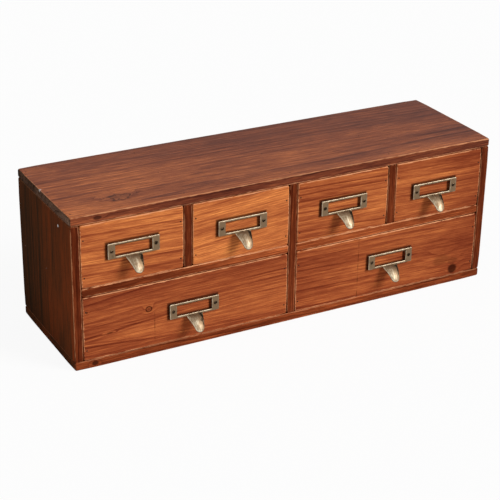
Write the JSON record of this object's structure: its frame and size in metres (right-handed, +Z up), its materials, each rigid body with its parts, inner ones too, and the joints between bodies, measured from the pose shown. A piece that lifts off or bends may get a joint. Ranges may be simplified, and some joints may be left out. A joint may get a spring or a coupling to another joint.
{
  "type": "tabletop drawer cabinet",
  "caption": "Long low wooden tabletop cabinet with a row of small drawers over a row of wide ones, each pulled by a cast brass card frame with a finger tongue.",
  "frame": {"origin": "middle of the underside of the bottom board, on the surface that the cabinet stands on", "axes": "+X to the right seen from the front, +Y from the front to the back, +Z up"},
  "size_m": [0.62, 0.2025, 0.21],
  "materials": {
    "stained_pine": "satin",
    "drawer_pine": "satin",
    "bare_pine": "matte",
    "plywood": "matte",
    "aged_brass": "antique",
    "steel": "dull"
  },
  "bodies": {
    "carcass": {"top_board": "stained_pine", "bottom_board": "stained_pine", "left_side_panel": "stained_pine", "right_side_panel": "stained_pine", "centre_divider": "stained_pine", "left_shelf": "stained_pine", "right_shelf": "stained_pine", "left_upper_divider": "stained_pine", "right_upper_divider": "stained_pine", "back_panel": "plywood", "carcass_brads": "steel", "back_panel_pins": "steel"},
    "small_drawer_1": {"small_drawer_1_front": "drawer_pine", "small_drawer_1_left_side": "bare_pine", "small_drawer_1_right_side": "bare_pine", "small_drawer_1_rear": "bare_pine", "small_drawer_1_bottom": "plywood", "small_drawer_1_label_pull": "aged_brass", "small_drawer_1_pull_screws": "aged_brass", "small_drawer_1_brads": "steel"},
    "small_drawer_2": {"small_drawer_2_front": "drawer_pine", "small_drawer_2_left_side": "bare_pine", "small_drawer_2_right_side": "bare_pine", "small_drawer_2_rear": "bare_pine", "small_drawer_2_bottom": "plywood", "small_drawer_2_label_pull": "aged_brass", "small_drawer_2_pull_screws": "aged_brass", "small_drawer_2_brads": "steel"},
    "small_drawer_3": {"small_drawer_3_front": "drawer_pine", "small_drawer_3_left_side": "bare_pine", "small_drawer_3_right_side": "bare_pine", "small_drawer_3_rear": "bare_pine", "small_drawer_3_bottom": "plywood", "small_drawer_3_label_pull": "aged_brass", "small_drawer_3_pull_screws": "aged_brass", "small_drawer_3_brads": "steel"},
    "small_drawer_4": {"small_drawer_4_front": "drawer_pine", "small_drawer_4_left_side": "bare_pine", "small_drawer_4_right_side": "bare_pine", "small_drawer_4_rear": "bare_pine", "small_drawer_4_bottom": "plywood", "small_drawer_4_label_pull": "aged_brass", "small_drawer_4_pull_screws": "aged_brass", "small_drawer_4_brads": "steel"},
    "wide_drawer_left": {"wide_drawer_left_front": "drawer_pine", "wide_drawer_left_left_side": "bare_pine", "wide_drawer_left_right_side": "bare_pine", "wide_drawer_left_rear": "bare_pine", "wide_drawer_left_bottom": "plywood", "wide_drawer_left_label_pull": "aged_brass", "wide_drawer_left_pull_screws": "aged_brass", "wide_drawer_left_brads": "steel"},
    "wide_drawer_right": {"wide_drawer_right_front": "drawer_pine", "wide_drawer_right_left_side": "bare_pine", "wide_drawer_right_right_side": "bare_pine", "wide_drawer_right_rear": "bare_pine", "wide_drawer_right_bottom": "plywood", "wide_drawer_right_label_pull": "aged_brass", "wide_drawer_right_pull_screws": "aged_brass", "wide_drawer_right_brads": "steel"}
  },
  "joints": [
    {"name": "small_drawer_1_slide", "type": "slide", "parent": "carcass", "child": "small_drawer_1", "axis": [0, -1, 0], "range_m": [0, 0.13]},
    {"name": "small_drawer_2_slide", "type": "slide", "parent": "carcass", "child": "small_drawer_2", "axis": [0, -1, 0], "range_m": [0, 0.13]},
    {"name": "small_drawer_3_slide", "type": "slide", "parent": "carcass", "child": "small_drawer_3", "axis": [0, -1, 0], "range_m": [0, 0.13]},
    {"name": "small_drawer_4_slide", "type": "slide", "parent": "carcass", "child": "small_drawer_4", "axis": [0, -1, 0], "range_m": [0, 0.13]},
    {"name": "wide_drawer_left_slide", "type": "slide", "parent": "carcass", "child": "wide_drawer_left", "axis": [0, -1, 0], "range_m": [0, 0.13]},
    {"name": "wide_drawer_right_slide", "type": "slide", "parent": "carcass", "child": "wide_drawer_right", "axis": [0, -1, 0], "range_m": [0, 0.13]}
  ]
}
